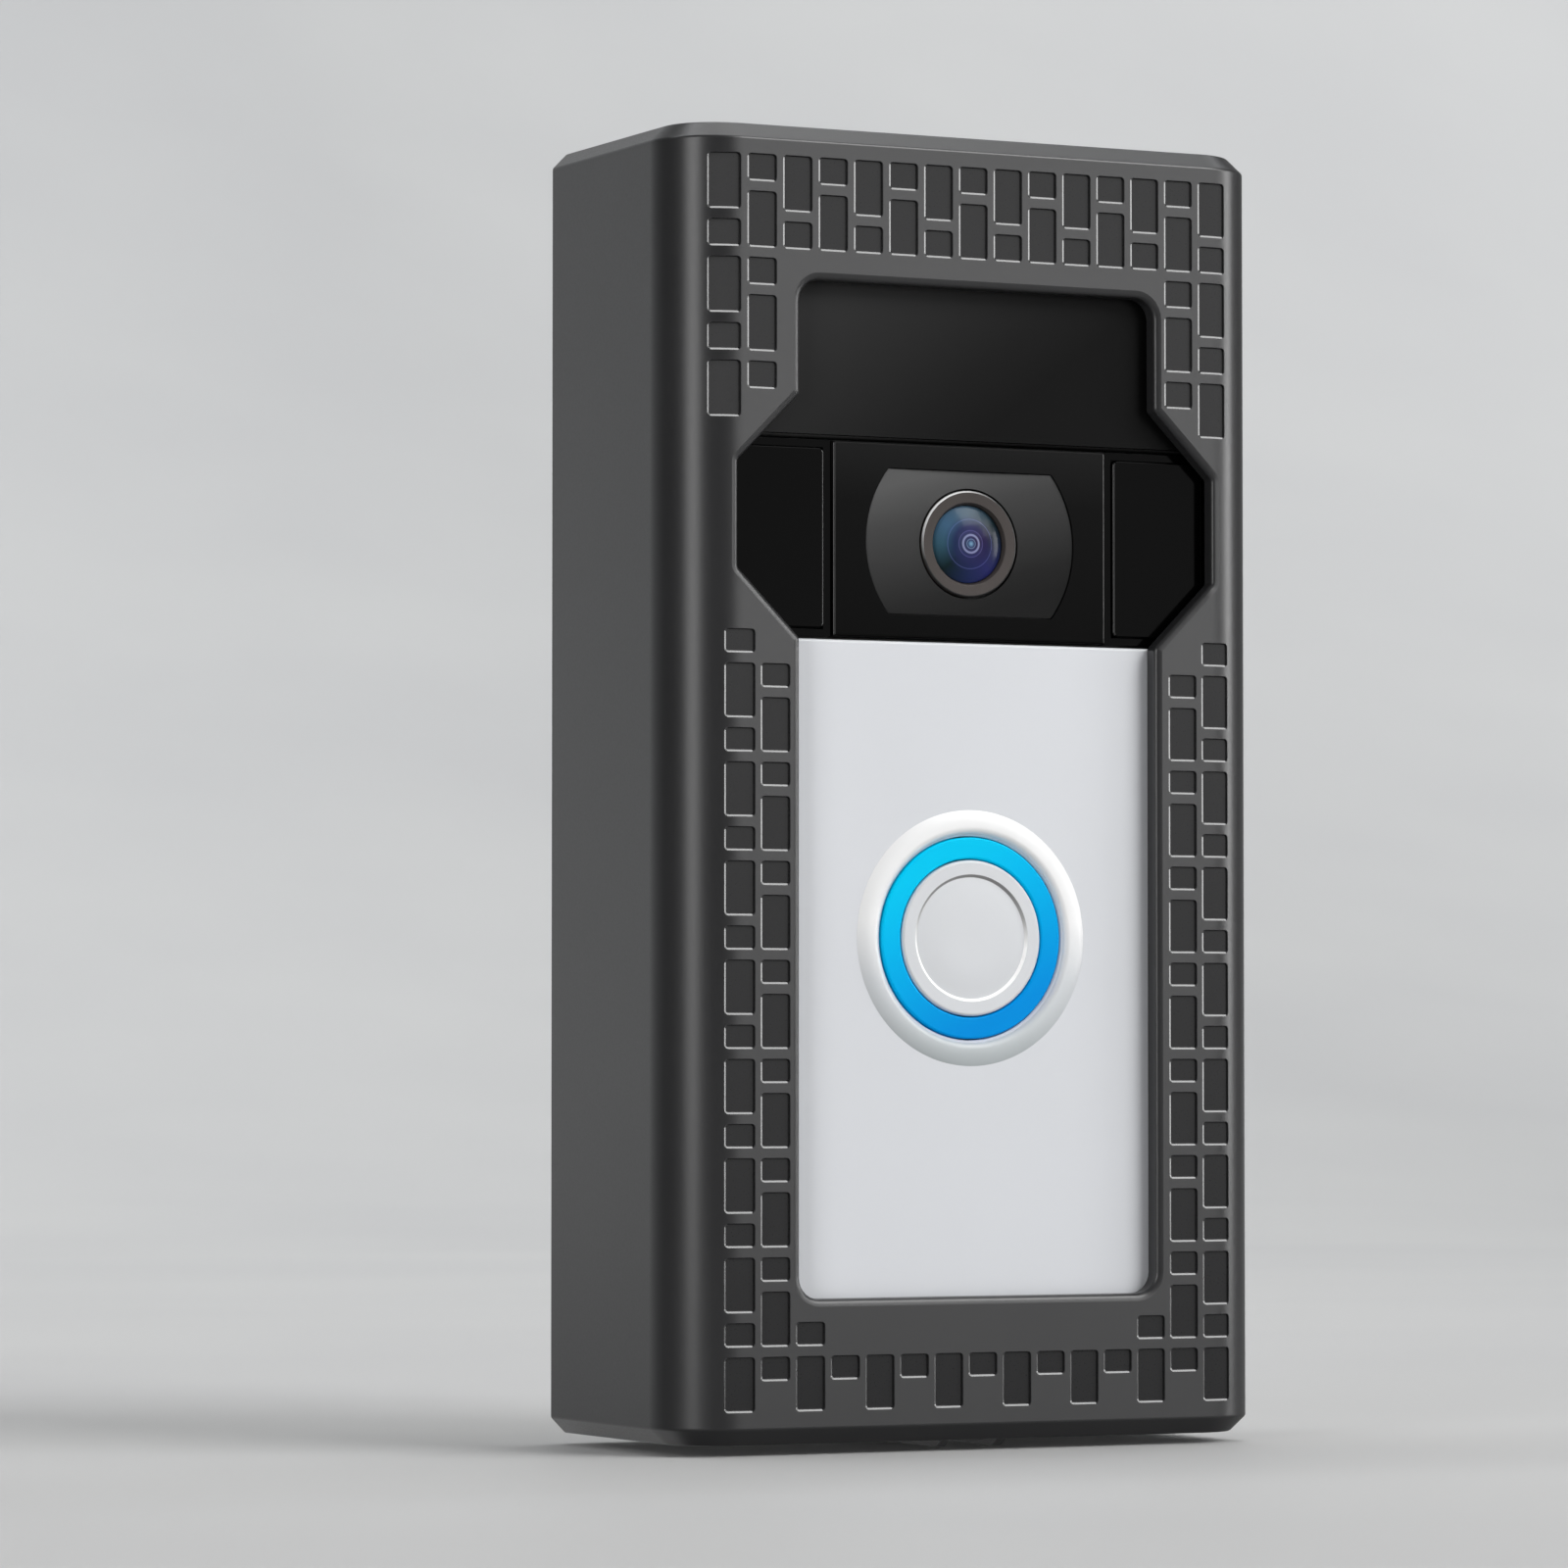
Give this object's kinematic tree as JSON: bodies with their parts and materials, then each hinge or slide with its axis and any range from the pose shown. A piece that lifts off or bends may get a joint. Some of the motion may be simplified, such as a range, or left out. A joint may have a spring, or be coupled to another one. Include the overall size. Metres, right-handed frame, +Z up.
{
  "type": "video doorbell",
  "caption": "Battery video doorbell with a round lit push button and a wide lens, held in a hinged anti-theft cover with a brick pattern and a long window.",
  "frame": {"origin": "middle of the face that rests on the wall, which is the rear of the middle adhesive pad", "axes": "+X right as seen from the front, +Y into the wall, +Z up"},
  "size_m": [0.0746, 0.0344, 0.1468],
  "materials": {
    "cover_plastic": "fine moulded texture, smoother in the recesses",
    "plate_plastic": "satin moulded",
    "pad_foam": "matt foam tape",
    "case_plastic": "fine moulded texture",
    "seal_rubber": "matt",
    "screw_steel": "turned",
    "faceplate_silver": "satin silver",
    "button_silver": "satin silver",
    "head_satin": "satin black",
    "head_gloss": "gloss black",
    "bezel_grey": "satin dark grey",
    "ring_metal": "satin bronze grey",
    "lens_coated": "coated",
    "barrel_black": "anodised",
    "board_green": "solder mask",
    "chip_black": "moulded",
    "shield_steel": "plain",
    "lamp_clear": "clear",
    "antenna_brass": "plain",
    "light_blue": "frosted, lit from behind",
    "plunger_red": "plain",
    "connector_ivory": "plain",
    "battery_wrap": "shrink wrap",
    "speaker_metal": "plain",
    "setup_orange": "plain"
  },
  "bodies": {
    "base": {"mount_plate": "plate_plastic", "adhesive_pads": "pad_foam", "doorbell_bracket": "plate_plastic", "bracket_screws": "screw_steel", "rear_case": "case_plastic", "case_gasket": "seal_rubber", "front_housing": "case_plastic", "case_screws": "screw_steel", "faceplate": "faceplate_silver", "faceplate_screw": "screw_steel", "upper_panel": "head_satin", "camera_frame": "head_gloss", "camera_panel": "head_satin", "ir_window_left": "head_gloss", "ir_window_right": "head_gloss", "lens_bezel": "bezel_grey", "lens_ring": "ring_metal", "lens_glass": "lens_coated", "lens_barrel": "barrel_black", "lens_elements": "lens_coated", "camera_holder": "case_plastic", "image_sensor": "chip_black", "camera_board": "board_green", "ir_lamps": "lamp_clear", "motion_sensors": "shield_steel", "microphone": "shield_steel", "wifi_antenna": "antenna_brass", "light_ring": "light_blue", "button_carrier": "case_plastic", "button_seal": "seal_rubber", "push_switch": "chip_black", "ring_board": "board_green", "ring_lamps": "lamp_clear", "main_board": "board_green", "board_chips": "shield_steel", "board_connector": "connector_ivory", "board_screws": "screw_steel", "battery_pack": "battery_wrap", "battery_foam": "seal_rubber", "battery_connector": "connector_ivory", "speaker": "speaker_metal", "speaker_gasket": "seal_rubber", "terminal_block": "chip_black", "terminal_screws": "antenna_brass", "usb_socket": "shield_steel", "usb_cover": "seal_rubber", "setup_switch": "chip_black"},
    "cover": {"cover_housing": "cover_plastic"},
    "lock_screw": {"security_screw": "screw_steel"},
    "button": {"button_cap": "button_silver", "button_clip": "screw_steel", "switch_plunger": "plunger_red"},
    "setup_key": {"setup_button": "setup_orange"}
  },
  "joints": [
    {"name": "cover_hinge", "type": "hinge", "parent": "base", "child": "cover", "pos_m": [0, -0.0026, 0.0709], "axis": [-1, 0, 0], "range_deg": [0, 14]},
    {"name": "lock_screw_travel", "type": "slide", "parent": "cover", "child": "lock_screw", "axis": [0, 0, 1], "range_m": [0, 0.0028]},
    {"name": "button_press", "type": "slide", "parent": "base", "child": "button", "axis": [0, 1, 0], "range_m": [0, 0.0007], "stiffness_N_per_m": 2000, "springref_m": -0.0002},
    {"name": "setup_press", "type": "slide", "parent": "base", "child": "setup_key", "axis": [-1, 0, 0], "range_m": [0, 0.0005], "stiffness_N_per_m": 2000, "springref_m": -0.0002}
  ]
}
